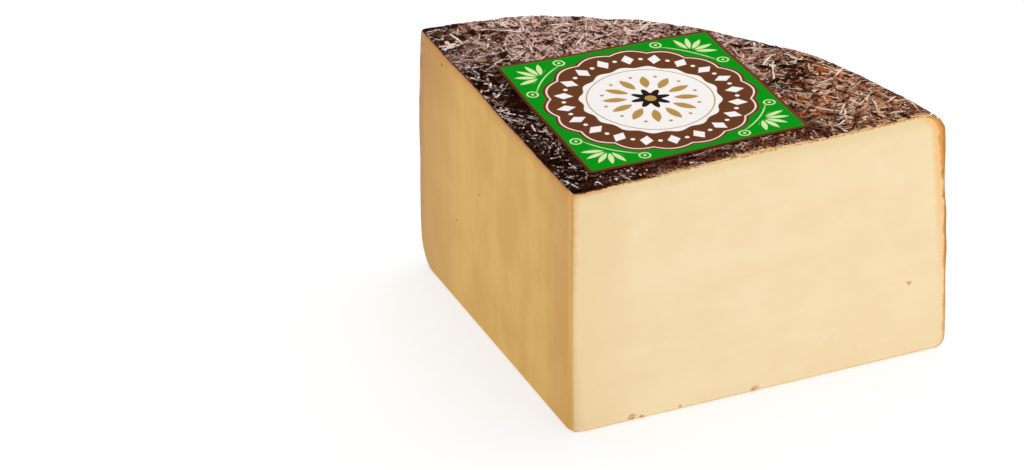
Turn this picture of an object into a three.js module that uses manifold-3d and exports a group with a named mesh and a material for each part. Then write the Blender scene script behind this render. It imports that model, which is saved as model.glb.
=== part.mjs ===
// A quarter of a dark-rubbed cheese wheel with a square paper label on top.
// Millimetres, +Z up. The shapes are worked out with the corner where the two
// knife cuts meet at the origin, the front cut along +X, and the base at z = 0.
// The finished group is then moved so that the middle of its base is the origin.
import * as THREE from 'three';
import { mergeVertices } from 'three/addons/utils/BufferGeometryUtils.js';
import Module from 'manifold-3d';

// The whole wheel
const WHEEL_RADIUS = 176;
const WHEEL_HEIGHT = 108;
const WHEEL_AXIS = new THREE.Vector2(-8.4, -17);
const WHEEL_STEPS = 200;

// The rim is worn unevenly: FRONT at the end of the front cut, LEFT at the end of the left cut.
// topIn and topDown are the reach of the upper rounding, footIn and footUp of the lower one.
// The middle of the side stands out by bulge, and the side leans out towards its foot by lean,
// about a place at LEAN_PIVOT of the way down.
const RIM_FRONT = { topIn: 12.5, topDown: 8.5, footIn: 6, footUp: 5, bulge: 0.9, lean: 3 };
const RIM_LEFT = { topIn: 2, topDown: 9, footIn: 15, footUp: 13.5, bulge: 1.5, lean: 0 };
const LEAN_PIVOT = 0.6;
// The back of the wheel is out of round: its middle and half width are shares of the way round
const BACK_SWELL = { middle: 0.74, halfWidth: 0.24, out: 2.2 };
const TOP_RINGS = 26;
const ROUNDING_RINGS = 7;
const SIDE_RINGS = 8;
const BASE_RINGS = 3;

// The knife cuts
const CUT_ANGLE = THREE.MathUtils.degToRad(87);
const CUT_EDGE_ROUNDING = 1.2;
const CUT_REACH = 1.3 * WHEEL_RADIUS;
const CUT_MARGIN = 10;
const CUT_ARC_POINTS = 5;

// Relief of the rind: waves in turned directions, each shorter and lower than the one before.
// The longest ones swell the whole wheel, and the others are the crust.
const WAVE_COUNT = 9;
const SWELL_COUNT = 2;
const WAVE_LENGTH = 62;
const WAVE_SHRINK = 0.79;
const WAVE_SLOPE = 0.0042;
const GOLDEN_ANGLE = Math.PI * (3 - Math.sqrt(5));
const RELIEF_FADE = 12;

// The label lies in the crust, which is pressed flat below it
const LABEL_NEAR = new THREE.Vector2(12.8, 11.4);
const LABEL_RIGHT = new THREE.Vector2(109.5, 10.0);
const LABEL_FAR = new THREE.Vector2(111.7, 103.6);
const LABEL_LEFT = new THREE.Vector2(19.3, 111.0);
const LABEL_THICKNESS = 0.4;
const LABEL_GAP = 0.3;
const LABEL_STEPS = 14;
const LABEL_MARGIN = 2.5;
const LABEL_PRESS_FADE = 5;

// Flakes that stand out of the rind
const TOP_FLAKES = 110;
const SIDE_FLAKES = 54;
const FLAKE_LENGTH = [5, 12];
const FLAKE_WIDTH = [1.1, 2.2];
const FLAKE_RISE = [0.5, 0.9];
const FLAKE_CLEARANCE = 0.8;
const FLAKE_SEED = 11;
const PLASTIC_NUMBER = 1.324717957244746;

const RIND_BROWN = 0x7a5a47;
const LABEL_GREEN = 0x0b9419;
const rindMaterial = () => new THREE.MeshStandardMaterial({ color: RIND_BROWN, roughness: 0.8 });
const labelMaterial = () => new THREE.MeshStandardMaterial({ color: LABEL_GREEN, roughness: 0.55 });

const wasm = await Module();
wasm.setup();

function toSolid(geometry) {
  const bare = geometry.clone();
  bare.deleteAttribute('normal');
  bare.deleteAttribute('uv');
  const merged = mergeVertices(bare);
  const corners = merged.index.array;
  const triangles = [];
  for (let i = 0; i < corners.length; i += 3) {
    const [a, b, c] = corners.slice(i, i + 3);
    const flat = a === b || b === c || c === a;
    if (!flat) triangles.push(a, b, c);
  }
  return new wasm.Manifold(new wasm.Mesh({
    numProp: 3,
    vertProperties: new Float32Array(merged.attributes.position.array),
    triVerts: new Uint32Array(triangles),
  }));
}

function toGeometry(solid) {
  const mesh = solid.getMesh();
  const geometry = new THREE.BufferGeometry();
  geometry.setAttribute('position', new THREE.BufferAttribute(new Float32Array(mesh.vertProperties), 3));
  geometry.setIndex(new THREE.BufferAttribute(new Uint32Array(mesh.triVerts), 1));
  geometry.computeVertexNormals();
  return geometry;
}

function seededRandom(seed) {
  let state = seed;
  return () => {
    state = (Math.imul(state, 1664525) + 1013904223) >>> 0;
    return state / 2 ** 32;
  };
}

// Place in the label's own axes: 1 or -1 is its edge, 0 its middle.
function labelPlace(x, y) {
  const middle = LABEL_NEAR.clone().add(LABEL_RIGHT).add(LABEL_FAR).add(LABEL_LEFT).divideScalar(4);
  const across = LABEL_RIGHT.clone().add(LABEL_FAR).divideScalar(2).sub(middle);
  const along = LABEL_FAR.clone().add(LABEL_LEFT).divideScalar(2).sub(middle);
  const offset = new THREE.Vector2(x, y).sub(middle);
  const area = across.cross(along);
  return { u: offset.cross(along) / area, v: across.cross(offset) / area, half: across.length() };
}

function distanceOutsideLabel(x, y) {
  const { u, v, half } = labelPlace(x, y);
  return (Math.max(Math.abs(u), Math.abs(v)) - 1) * half;
}

function waves(first, last, x, y, z) {
  let height = 0;
  for (let i = first; i < last; i++) {
    const length = WAVE_LENGTH * WAVE_SHRINK ** i;
    const turn = GOLDEN_ANGLE * (i + 1);
    const run = x * Math.cos(turn) + y * Math.sin(turn) + z * Math.sin(2 * turn);
    height += WAVE_SLOPE * length * Math.sin(2 * Math.PI * run / length + turn * turn);
  }
  return height;
}

const swell = (x, y, z) => waves(0, SWELL_COUNT, x, y, z);

function crust(x, y, z) {
  const away = distanceOutsideLabel(x, y) - LABEL_MARGIN;
  const pressed = 1 - THREE.MathUtils.smoothstep(away, 0, LABEL_PRESS_FADE);
  const onTop = THREE.MathUtils.smoothstep(z, WHEEL_HEIGHT - RELIEF_FADE, WHEEL_HEIGHT);
  return waves(SWELL_COUNT, WAVE_COUNT, x, y, z) * (1 - pressed * onTop);
}

// The rim's measures at a share of the way from the front cut to the left cut.
function rimAt(share) {
  const eased = share * (2 - share);
  const rim = {};
  for (const name of Object.keys(RIM_FRONT)) {
    rim[name] = THREE.MathUtils.lerp(RIM_FRONT[name], RIM_LEFT[name], eased);
  }
  return rim;
}

// How far the side stands out between its two roundings, at a share of the way down.
function sideBulge(rim, share) {
  return 4 * rim.bulge * share * (1 - share) + rim.lean * (share - LEAN_PIVOT);
}

const shoulderRadius = (rim) => WHEEL_RADIUS + sideBulge(rim, 0);
const footRadius = (rim) => WHEEL_RADIUS + sideBulge(rim, 1);

// How much wider the wheel is than round, at a share of the way round the rim.
function widening(share) {
  const off = (share - BACK_SWELL.middle) / BACK_SWELL.halfWidth;
  return 1 + Math.max(1 - off * off, 0) ** 2 * BACK_SWELL.out / WHEEL_RADIUS;
}

// The section of the wheel, from the middle of the base round the rim to the middle of the top.
function wheelSection(rim) {
  const points = [];
  const add = (radius, height) => points.push(new THREE.Vector2(radius, height));
  for (let i = 0; i < TOP_RINGS; i++) {
    add((shoulderRadius(rim) - rim.topIn) * i / TOP_RINGS, WHEEL_HEIGHT);
  }
  for (let i = 0; i <= ROUNDING_RINGS; i++) {
    const turn = Math.PI / 2 * i / ROUNDING_RINGS;
    const inset = rim.topIn * (1 - Math.sin(turn));
    add(shoulderRadius(rim) - inset, WHEEL_HEIGHT - rim.topDown * (1 - Math.cos(turn)));
  }
  const sideTop = WHEEL_HEIGHT - rim.topDown;
  for (let i = 1; i < SIDE_RINGS; i++) {
    const fall = i / SIDE_RINGS;
    add(WHEEL_RADIUS + sideBulge(rim, fall), THREE.MathUtils.lerp(sideTop, rim.footUp, fall));
  }
  for (let i = 0; i <= ROUNDING_RINGS; i++) {
    const turn = Math.PI / 2 * i / ROUNDING_RINGS;
    add(footRadius(rim) - rim.footIn * (1 - Math.cos(turn)), rim.footUp * (1 - Math.sin(turn)));
  }
  for (let i = 1; i <= BASE_RINGS; i++) {
    add((footRadius(rim) - rim.footIn) * (1 - i / BASE_RINGS), 0);
  }
  return points.reverse();
}

// How far round the rim a direction is: 0 at the front cut, 1 at the left cut.
function rimShare(angle) {
  const x = WHEEL_AXIS.x + WHEEL_RADIUS * Math.cos(angle);
  const y = WHEEL_AXIS.y + WHEEL_RADIUS * Math.sin(angle);
  return THREE.MathUtils.clamp(Math.atan2(y, x) / CUT_ANGLE, 0, 1);
}

// The outward direction of the section at one of its points.
function sectionNormal(points, index) {
  const before = points[Math.max(index - 1, 0)];
  const after = points[Math.min(index + 1, points.length - 1)];
  const along = after.clone().sub(before).normalize();
  return new THREE.Vector2(along.y, -along.x);
}

function wheel() {
  const evenSection = wheelSection(RIM_FRONT);
  const stations = evenSection.length;
  const geometry = new THREE.LatheGeometry(evenSection, WHEEL_STEPS);
  const position = geometry.attributes.position;
  for (let step = 0; step <= WHEEL_STEPS; step++) {
    const angle = 2 * Math.PI * (step % WHEEL_STEPS) / WHEEL_STEPS;
    const share = rimShare(angle);
    const section = wheelSection(rimAt(share));
    for (let i = 0; i < stations; i++) {
      const height = section[i].y;
      const radius = section[i].x * widening(share);
      const x = WHEEL_AXIS.x + radius * Math.cos(angle);
      const y = WHEEL_AXIS.y + radius * Math.sin(angle);
      const aboveBase = THREE.MathUtils.smoothstep(height, 0, RELIEF_FADE);
      const rise = (swell(x, y, height) + crust(x, y, height)) * aboveBase;
      const normal = sectionNormal(section, i);
      const out = rise * normal.x * Math.sign(radius);
      const z = height + rise * normal.y;
      position.setXYZ(step * stations + i, x + out * Math.cos(angle), y + out * Math.sin(angle), z);
    }
  }
  return toSolid(geometry);
}

// The sector between the two knife cuts, with the upright edge where they meet softly rounded.
function knifeCuts() {
  const outline = new THREE.Shape();
  const setback = CUT_EDGE_ROUNDING / Math.tan(CUT_ANGLE / 2);
  const centre = new THREE.Vector2(setback, CUT_EDGE_ROUNDING);
  outline.absarc(centre.x, centre.y, CUT_EDGE_ROUNDING, CUT_ANGLE + Math.PI / 2, 1.5 * Math.PI, false);
  outline.lineTo(CUT_REACH, 0);
  outline.lineTo(CUT_REACH, CUT_REACH);
  outline.lineTo(CUT_REACH * Math.cos(CUT_ANGLE), CUT_REACH * Math.sin(CUT_ANGLE));
  outline.closePath();
  const geometry = new THREE.ExtrudeGeometry(outline, {
    depth: WHEEL_HEIGHT + 2 * CUT_MARGIN,
    bevelEnabled: false,
    curveSegments: CUT_ARC_POINTS,
  });
  geometry.translate(0, 0, -CUT_MARGIN);
  return toSolid(geometry);
}

// A long, flat, pointed flake half sunk in the rind, short enough for the room round its middle.
function flake(place, outward, room, random) {
  const between = ([low, high]) => THREE.MathUtils.lerp(low, high, random());
  const length = Math.min(between(FLAKE_LENGTH), 2 * room);
  const geometry = new THREE.OctahedronGeometry(1, 0);
  geometry.scale(length / 2, between(FLAKE_WIDTH) / 2, between(FLAKE_RISE));
  geometry.rotateZ(Math.PI * random());
  geometry.applyQuaternion(new THREE.Quaternion().setFromUnitVectors(new THREE.Vector3(0, 0, 1), outward));
  geometry.translate(place.x, place.y, place.z);
  return toSolid(geometry);
}

// Evenly spread pairs of numbers between 0 and 1, with no two close together.
function evenPair(index) {
  return [(index / PLASTIC_NUMBER) % 1, (index / PLASTIC_NUMBER ** 2) % 1];
}

function topFlakes(random) {
  const flakes = [];
  const up = new THREE.Vector3(0, 0, 1);
  for (let index = 1; flakes.length < TOP_FLAKES; index++) {
    const [a, b] = evenPair(index);
    const x = a * WHEEL_RADIUS;
    const y = b * WHEEL_RADIUS;
    const angle = Math.atan2(y - WHEEL_AXIS.y, x - WHEEL_AXIS.x);
    const radius = Math.hypot(x - WHEEL_AXIS.x, y - WHEEL_AXIS.y);
    const rim = rimAt(rimShare(angle));
    const toRim = shoulderRadius(rim) - rim.topIn - radius;
    const toLeftCut = x * Math.sin(CUT_ANGLE) - y * Math.cos(CUT_ANGLE);
    const room = Math.min(toRim, distanceOutsideLabel(x, y)) - FLAKE_CLEARANCE;
    const fits = Math.min(room, y, toLeftCut) > FLAKE_LENGTH[0] / 4;
    if (!fits) continue;
    const z = WHEEL_HEIGHT + swell(x, y, WHEEL_HEIGHT) + crust(x, y, WHEEL_HEIGHT);
    flakes.push(flake(new THREE.Vector3(x, y, z), up, room, random));
  }
  return flakes;
}

// The direction from the wheel's axis in which a cut, seen from the corner, leaves the rim.
function rimEnd(cutTurn) {
  const corner = WHEEL_AXIS.clone().negate();
  const cut = new THREE.Vector2(Math.cos(cutTurn), Math.sin(cutTurn));
  const halfway = corner.dot(cut);
  const reach = Math.sqrt(WHEEL_RADIUS ** 2 - corner.lengthSq() + halfway ** 2) - halfway;
  return corner.addScaledVector(cut, reach).angle();
}

function sideFlakes(random) {
  const flakes = [];
  const margin = FLAKE_LENGTH[0] / WHEEL_RADIUS;
  for (let index = 1; index <= SIDE_FLAKES; index++) {
    const [a, b] = evenPair(index);
    const angle = THREE.MathUtils.lerp(rimEnd(0) + margin, rimEnd(CUT_ANGLE) - margin, a);
    const share = rimShare(angle);
    const rim = rimAt(share);
    const low = rim.footUp + FLAKE_LENGTH[0];
    const high = WHEEL_HEIGHT - rim.topDown;
    const z = THREE.MathUtils.lerp(low, high, b);
    const outward = new THREE.Vector3(Math.cos(angle), Math.sin(angle), 0);
    const place = new THREE.Vector3(WHEEL_AXIS.x, WHEEL_AXIS.y, z);
    const even = WHEEL_RADIUS + sideBulge(rim, (high - z) / (high - rim.footUp));
    place.addScaledVector(outward, even * widening(share));
    place.addScaledVector(outward, swell(place.x, place.y, z) + crust(place.x, place.y, z));
    flakes.push(flake(place, outward, FLAKE_LENGTH[1], random));
  }
  return flakes;
}

function cheeseQuarter() {
  const random = seededRandom(FLAKE_SEED);
  let solid = wheel();
  for (const piece of [...topFlakes(random), ...sideFlakes(random)]) {
    solid = solid.add(piece);
  }
  return new THREE.Mesh(toGeometry(solid.intersect(knifeCuts())), rindMaterial());
}

// A thin sheet whose two faces follow the swell of the wheel's top.
function label() {
  const geometry = new THREE.BoxGeometry(1, 1, 1, LABEL_STEPS, LABEL_STEPS, 1);
  const position = geometry.attributes.position;
  for (let i = 0; i < position.count; i++) {
    const u = position.getX(i) + 0.5;
    const v = position.getY(i) + 0.5;
    const near = LABEL_NEAR.clone().lerp(LABEL_RIGHT, u);
    const far = LABEL_LEFT.clone().lerp(LABEL_FAR, u);
    const place = near.lerp(far, v);
    const height = LABEL_GAP + LABEL_THICKNESS * (position.getZ(i) + 0.5);
    const z = WHEEL_HEIGHT + swell(place.x, place.y, WHEEL_HEIGHT) + height;
    position.setXYZ(i, place.x, place.y, z);
  }
  return new THREE.Mesh(geometry, labelMaterial());
}

const quarter = cheeseQuarter();
quarter.name = 'cheese_quarter';
const paper = label();
paper.name = 'label';

const group = new THREE.Group();
group.add(quarter, paper);
const middle = new THREE.Box3().setFromObject(group, true).getCenter(new THREE.Vector3());
group.position.set(-middle.x, -middle.y, 0);

export default group;
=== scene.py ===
"""Looks of a quarter of a dark-rubbed cheese wheel with a square paper label on top."""
import math

import bpy
import numpy as np
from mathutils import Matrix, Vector


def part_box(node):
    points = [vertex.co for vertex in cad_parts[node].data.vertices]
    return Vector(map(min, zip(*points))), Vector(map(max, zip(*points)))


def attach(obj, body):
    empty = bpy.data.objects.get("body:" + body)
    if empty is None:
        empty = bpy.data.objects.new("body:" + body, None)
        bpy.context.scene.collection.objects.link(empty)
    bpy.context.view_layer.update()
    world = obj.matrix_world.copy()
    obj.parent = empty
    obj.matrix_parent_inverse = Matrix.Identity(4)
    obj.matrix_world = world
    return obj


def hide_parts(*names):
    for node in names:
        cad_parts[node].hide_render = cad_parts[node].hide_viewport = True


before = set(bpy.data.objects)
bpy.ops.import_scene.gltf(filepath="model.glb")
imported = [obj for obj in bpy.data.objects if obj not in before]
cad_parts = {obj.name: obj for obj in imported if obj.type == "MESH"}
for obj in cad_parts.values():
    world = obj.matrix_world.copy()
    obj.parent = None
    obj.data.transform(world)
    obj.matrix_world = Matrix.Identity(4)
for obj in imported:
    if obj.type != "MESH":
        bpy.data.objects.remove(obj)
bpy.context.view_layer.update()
MM = 0.001

# ---- Sizes, in millimetres ----
# The corner where the two knife cuts meet is x = y = 0, the front cut runs along +X, the left
# cut runs at CUT_ANGLE from it, and the base is z = 0.
WHEEL_RADIUS = 176.0
WHEEL_HEIGHT = 108.0
WHEEL_AXIS = np.array([-8.4, -17.0])
CUT_ANGLE = math.radians(87)
# The upright edge between the cuts is rounder towards its foot
CUT_EDGE_ROUNDING = 1.2
CUT_FOOT_ROUNDING = 6.0

# The rim is worn unevenly from the end of the front cut to the end of the left cut
RIM_FRONT = {"top_in": 12.5, "top_down": 8.5, "foot_in": 6.0, "foot_up": 5.0, "bulge": 0.9, "lean": 3.0}
RIM_LEFT = {"top_in": 2.0, "top_down": 9.0, "foot_in": 15.0, "foot_up": 13.5, "bulge": 1.5, "lean": 0.0}
LEAN_PIVOT = 0.6
# The back of the wheel is out of round: its middle and half width are shares of the way round
BACK_SWELL = {"middle": 0.74, "half_width": 0.24, "out": 2.2}

# Waves of the rind: the longest swell the wheel, and the others are its crust
WAVE_COUNT = 9
SWELL_COUNT = 2
WAVE_LENGTH = 62.0
WAVE_SHRINK = 0.79
WAVE_SLOPE = 0.0042
GOLDEN_ANGLE = math.pi * (3 - math.sqrt(5))
RELIEF_FADE = 12.0

# The label's corners, and how the crust is pressed flat below it
LABEL_NEAR = np.array([12.8, 11.4])
LABEL_RIGHT = np.array([109.5, 10.0])
LABEL_FAR = np.array([111.7, 103.6])
LABEL_LEFT = np.array([19.3, 111.0])
LABEL_SIDE = 95.5
LABEL_THICKNESS = 0.35
LABEL_GAP = 0.3
LABEL_STEPS = 48
LABEL_MARGIN = 2.5
LABEL_PRESS_FADE = 5.0

# Mesh of the cheese: cells along a cut, and rows of the upper rounding, the side and the foot
CUT_CELLS = 176
ROUNDING_ROWS = 18
SIDE_ROWS = 46
FOOT_ROWS = 12
ROW_BUNCHING = 0.72
FOOT_EDGE_ROUNDING = 1.1
TOP_EDGE_WEAR = 0.25
CRUST_RELIEF = {"Crust height": 0.75, "Crust size": 3.6, "Grain height": 0.12}

# The large flakes stand where the CAD model has them
TOP_FLAKES = 110
SIDE_FLAKES = 54
FLAKE_LENGTH = (5.0, 12.0)
FLAKE_WIDTH = (1.1, 2.2)
FLAKE_RISE = (0.5, 0.9)
FLAKE_CLEARANCE = 0.8
FLAKE_SEED = 11
PLASTIC_NUMBER = 1.324717957244746
FLAKE_PROUD = 0.12

# The small flakes: density in flakes per square metre, then sizes in millimetres
LONG_STROKE_SIZES = {"Density": 29000, "Clump size": 16.0, "Shortest": 7.0, "Longest": 24.0,
                     "Narrowest": 0.6, "Widest": 1.1, "Rise": 0.3, "Bend": 1.4}
STROKE_SIZES = {"Density": 100000, "Clump size": 12.0, "Shortest": 2.0, "Longest": 13.0,
                "Narrowest": 0.5, "Widest": 1.0, "Rise": 0.35, "Bend": 1.3}
CRUMB_SIZES = {"Density": 210000, "Clump size": 10.0, "Shortest": 0.7, "Longest": 2.4,
               "Narrowest": 0.6, "Widest": 1.2, "Rise": 0.4, "Bend": 1.0}
RUBBED_ENOUGH = 0.25

# Where the corner of the cuts lies in the frame: the rounding of its edge draws the box in a little
EDGE_INSET = CUT_EDGE_ROUNDING / math.tan(CUT_ANGLE / 2) - CUT_EDGE_ROUNDING
CORNER = np.array(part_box("cheese_quarter")[0][:2]) / MM - (EDGE_INSET, 0.0)


# ---- Node trees, written as sums ----
def sum_of(operation, flipped=False):
    """A method of a wire that adds a Math node; flipped puts the wire last."""
    def method(wire, *others):
        values = (*others, wire) if flipped else (wire, *others)
        return node(wire.tree, "ShaderNodeMath", {"operation": operation}, *values)
    return method


class Wire:
    """A socket of a node tree that can be added, multiplied and compared like a number."""

    def __init__(self, tree, socket):
        self.tree = tree
        self.socket = socket

    __add__ = __radd__ = sum_of("ADD")
    __sub__ = sum_of("SUBTRACT")
    __rsub__ = sum_of("SUBTRACT", flipped=True)
    __mul__ = __rmul__ = sum_of("MULTIPLY")
    __truediv__ = sum_of("DIVIDE")
    __rtruediv__ = sum_of("DIVIDE", flipped=True)
    __pow__ = sum_of("POWER")
    __abs__ = sum_of("ABSOLUTE")
    max = sum_of("MAXIMUM")
    sin = sum_of("SINE")
    cos = sum_of("COSINE")
    fraction = sum_of("FRACT")
    angle_to = sum_of("ARCTAN2")
    below = sum_of("LESS_THAN")

    def clamp(self):
        return node(self.tree, "ShaderNodeMath", {"operation": "ADD", "use_clamp": True}, self, 0.0)

    def smooth(self, start, end):
        """0 before start and 1 after end, with a smooth step between; start may be the larger."""
        settings = {"interpolation_type": "SMOOTHSTEP"}
        ends = (start, end, 0.0, 1.0) if start < end else (end, start, 1.0, 0.0)
        return node(self.tree, "ShaderNodeMapRange", settings, self, *ends)

    def range(self, start, end, low, high):
        return node(self.tree, "ShaderNodeMapRange", {}, self, start, end, low, high)

    def beside(self, name):
        """Another output of the same node."""
        return Wire(self.tree, self.socket.node.outputs[name])


def node(tree, kind, settings=None, *inputs, output=0, named=None):
    """Adds a node, sets it, feeds its open inputs in order or by name, and returns an output."""
    made = tree.nodes.new(kind)
    for name, value in (settings or {}).items():
        setattr(made, name, value)
    sockets = [socket for socket in made.inputs if not socket.is_unavailable]
    feeds = list(zip(sockets, inputs))
    for name, value in (named or {}).items():
        feeds.append((next(socket for socket in sockets if socket.name == name), value))
    for socket, value in feeds:
        if isinstance(value, Wire):
            tree.links.new(value.socket, socket)
        else:
            socket.default_value = value
    return Wire(tree, [socket for socket in made.outputs if not socket.is_unavailable][output])


def end_tree(result, kind="NodeGroupOutput"):
    """Feeds what a tree makes to its output node."""
    output = result.tree.nodes.new(kind)
    result.tree.links.new(result.socket, output.inputs[0])


def linear(red, green, blue):
    """A colour given as it looks on screen, 0 to 255, in the scene's own linear values."""
    def one(value):
        share = value / 255
        return share / 12.92 if share <= 0.04045 else ((share + 0.055) / 1.055) ** 2.4
    return (one(red), one(green), one(blue), 1.0)


def blend(share, first, second):
    """The first colour where share is 0, the second where it is 1; each a wire or as on screen."""
    colours = [linear(*colour) if isinstance(colour, tuple) else colour for colour in (first, second)]
    return node(share.tree, "ShaderNodeMix", {"data_type": "RGBA"}, share, *colours)


def paint(colour, *layers):
    """Lays layers over a colour in turn, each a share from 0 to 1 and its own colour."""
    for share, over in layers:
        colour = blend(share, colour, over)
    return colour


def vector(operation, first, second):
    return node(first.tree, "ShaderNodeVectorMath", {"operation": operation}, first, second)


def scale(place, amount):
    """A vector times a number."""
    return node(place.tree, "ShaderNodeVectorMath", {"operation": "SCALE"}, place, named={"Scale": amount})


def parts(wire):
    """The x, y and z of a vector."""
    split = node(wire.tree, "ShaderNodeSeparateXYZ", None, wire)
    return [split.beside(axis) for axis in "XYZ"]


def together(x, y, z):
    tree = next(wire.tree for wire in (x, y, z) if isinstance(wire, Wire))
    return node(tree, "ShaderNodeCombineXYZ", None, x, y, z)


def noise(place, size, detail=3.0, roughness=0.6):
    """Soft noise from 0 to 1, whose largest blobs are about size across."""
    named = {"Vector": place, "Scale": 1.0 / size, "Detail": detail, "Roughness": roughness}
    return node(place.tree, "ShaderNodeTexNoise", named=named)


def drawn_out(place, x, y, z):
    """The place with its axes scaled, for noise that is longer one way than another."""
    return vector("MULTIPLY", place, (x, y, z))


def new_material(name):
    """An empty material and the tree that its looks are written in."""
    material = bpy.data.materials.new(name)
    material.use_nodes = True
    material.node_tree.nodes.clear()
    return material, material.node_tree


def in_millimetres(tree):
    """The place on the object, from the corner of the cuts, in millimetres."""
    place = node(tree, "ShaderNodeTexCoord").beside("Object")
    return scale(vector("SUBTRACT", place, (*(CORNER * MM), 0.0)), 1 / MM)


def finish_material(tree, **sockets):
    """Ends a tree in one glossy shader. A name's underscores stand for its spaces."""
    named = {name.replace("_", " "): value for name, value in sockets.items()}
    end_tree(node(tree, "ShaderNodeBsdfPrincipled", named=named), "ShaderNodeOutputMaterial")


def bump(height, distance, strength):
    """A normal that follows height, given from 0 to 1, over a real distance in millimetres."""
    named = {"Height": height, "Distance": distance * MM, "Strength": strength}
    return node(height.tree, "ShaderNodeBump", named=named)


def attribute(tree, name):
    return node(tree, "ShaderNodeAttribute", {"attribute_name": name}).beside("Fac")


# ---- The form of the wheel ----
def smoothstep(value, low, high):
    share = np.clip((value - low) / (high - low), 0, 1)
    return share * share * (3 - 2 * share)


def outside_label(x, y):
    """How far a place lies outside the label's outline; negative inside it."""
    middle = (LABEL_NEAR + LABEL_RIGHT + LABEL_FAR + LABEL_LEFT) / 4
    across = (LABEL_RIGHT + LABEL_FAR) / 2 - middle
    along = (LABEL_FAR + LABEL_LEFT) / 2 - middle
    area = across[0] * along[1] - across[1] * along[0]
    dx, dy = x - middle[0], y - middle[1]
    u = (dx * along[1] - dy * along[0]) / area
    v = (across[0] * dy - across[1] * dx) / area
    return (np.maximum(abs(u), abs(v)) - 1) * np.hypot(*across)


def waves(first, last, x, y, z):
    height = 0.0
    for i in range(first, last):
        length = WAVE_LENGTH * WAVE_SHRINK ** i
        turn = GOLDEN_ANGLE * (i + 1)
        run = x * math.cos(turn) + y * math.sin(turn) + z * math.sin(2 * turn)
        height = height + WAVE_SLOPE * length * np.sin(2 * math.pi * run / length + turn * turn)
    return height


def swell(x, y, z):
    return waves(0, SWELL_COUNT, x, y, z)


def pressed(x, y, z):
    """1 where the label presses the crust flat, 0 clear of it."""
    near = 1 - smoothstep(outside_label(x, y) - LABEL_MARGIN, 0, LABEL_PRESS_FADE)
    return near * smoothstep(z, WHEEL_HEIGHT - RELIEF_FADE, WHEEL_HEIGHT)


def rind_rise(x, y, z):
    """How far the rind stands out from the even wheel."""
    crust = waves(SWELL_COUNT, WAVE_COUNT, x, y, z) * (1 - pressed(x, y, z))
    return (swell(x, y, z) + crust) * smoothstep(z, 0, RELIEF_FADE)


def rim_at(share):
    """The rim's measures at a share of the way from the front cut to the left cut."""
    eased = share * (2 - share)
    return {name: RIM_FRONT[name] + (RIM_LEFT[name] - RIM_FRONT[name]) * eased for name in RIM_FRONT}


def side_bulge(rim, fall):
    """How far the side stands out between its two roundings, at a share of the way down."""
    return 4 * rim["bulge"] * fall * (1 - fall) + rim["lean"] * (fall - LEAN_PIVOT)


def top_radius(rim):
    """The radius of the flat top, inside the rim's upper rounding."""
    return WHEEL_RADIUS + side_bulge(rim, 0) - rim["top_in"]


def widening(share):
    """How much wider the wheel is than round, at a share of the way round the rim."""
    off = (share - BACK_SWELL["middle"]) / BACK_SWELL["half_width"]
    return 1 + np.maximum(1 - off * off, 0) ** 2 * BACK_SWELL["out"] / WHEEL_RADIUS


def reach(turn, radius):
    """The way from the corner, in the direction turn, to a circle round the wheel's axis."""
    along = WHEEL_AXIS[0] * np.cos(turn) + WHEEL_AXIS[1] * np.sin(turn)
    return along + np.sqrt(radius ** 2 - WHEEL_AXIS @ WHEEL_AXIS + along ** 2)


def from_left_cut(x, y):
    """How far a place lies inside the plane of the left cut."""
    return x * math.sin(CUT_ANGLE) - y * math.cos(CUT_ANGLE)


def rim_section(share):
    """Radius, height and outward direction down the rim, one row of each for every share."""
    rim = {name: value[:, None] for name, value in rim_at(share).items()}
    over = np.linspace(0, math.pi / 2, ROUNDING_ROWS + 1)[None, :]
    fall = np.linspace(0, 1, SIDE_ROWS + 1)[None, 1:-1]
    under = np.linspace(0, math.pi / 2, FOOT_ROWS + 1)[None, :]
    side_top = WHEEL_HEIGHT - rim["top_down"]
    radius = np.concatenate([
        top_radius(rim) + rim["top_in"] * np.sin(over),
        WHEEL_RADIUS + side_bulge(rim, fall),
        WHEEL_RADIUS + side_bulge(rim, 1) - rim["foot_in"] * (1 - np.cos(under)),
    ], axis=1) * widening(share)[:, None]
    height = np.concatenate([
        WHEEL_HEIGHT - rim["top_down"] * (1 - np.cos(over)),
        side_top + (rim["foot_up"] - side_top) * fall,
        rim["foot_up"] * (1 - np.sin(under)),
    ], axis=1)
    along = np.gradient(np.stack([radius, height], -1), axis=1)
    along[:, 0] = (1, 0)
    along[:, -1] = (-1, 0)
    along /= np.linalg.norm(along, axis=-1, keepdims=True)
    return radius, height, -along[..., 1], along[..., 0]


def rim_distance(from_axis, z, share):
    """About how far a point of the cheese is from the rim's outside."""
    rim = rim_at(share)
    side_top = WHEEL_HEIGHT - rim["top_down"]
    over = np.clip((z - side_top) / rim["top_down"], 0, 1)
    under = np.clip((rim["foot_up"] - z) / rim["foot_up"], 0, 1)
    lost = rim["top_in"] * (1 - np.sqrt(1 - over ** 2)) + rim["foot_in"] * (1 - np.sqrt(1 - under ** 2))
    fall = np.clip((side_top - z) / (side_top - rim["foot_up"]), 0, 1)
    return (WHEEL_RADIUS + side_bulge(rim, fall)) * widening(share) - lost - from_axis


def top_points():
    """The flat top as a square of points, one side on each cut and two on the rim."""
    step = np.linspace(0, 1, CUT_CELLS + 1)
    u, v = np.meshgrid(step, step, indexing="ij")
    x, y = u * np.sqrt(1 - v * v / 2), v * np.sqrt(1 - u * u / 2)
    share = np.arctan2(y, x) / (math.pi / 2)
    turn = share * CUT_ANGLE
    far = np.hypot(x, y) * reach(turn, top_radius(rim_at(share)) * widening(share))
    x, y = far * np.cos(turn), far * np.sin(turn)
    z = WHEEL_HEIGHT + rind_rise(x, y, WHEEL_HEIGHT + 0 * x)
    return np.stack([x, y, z], -1), share


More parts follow.
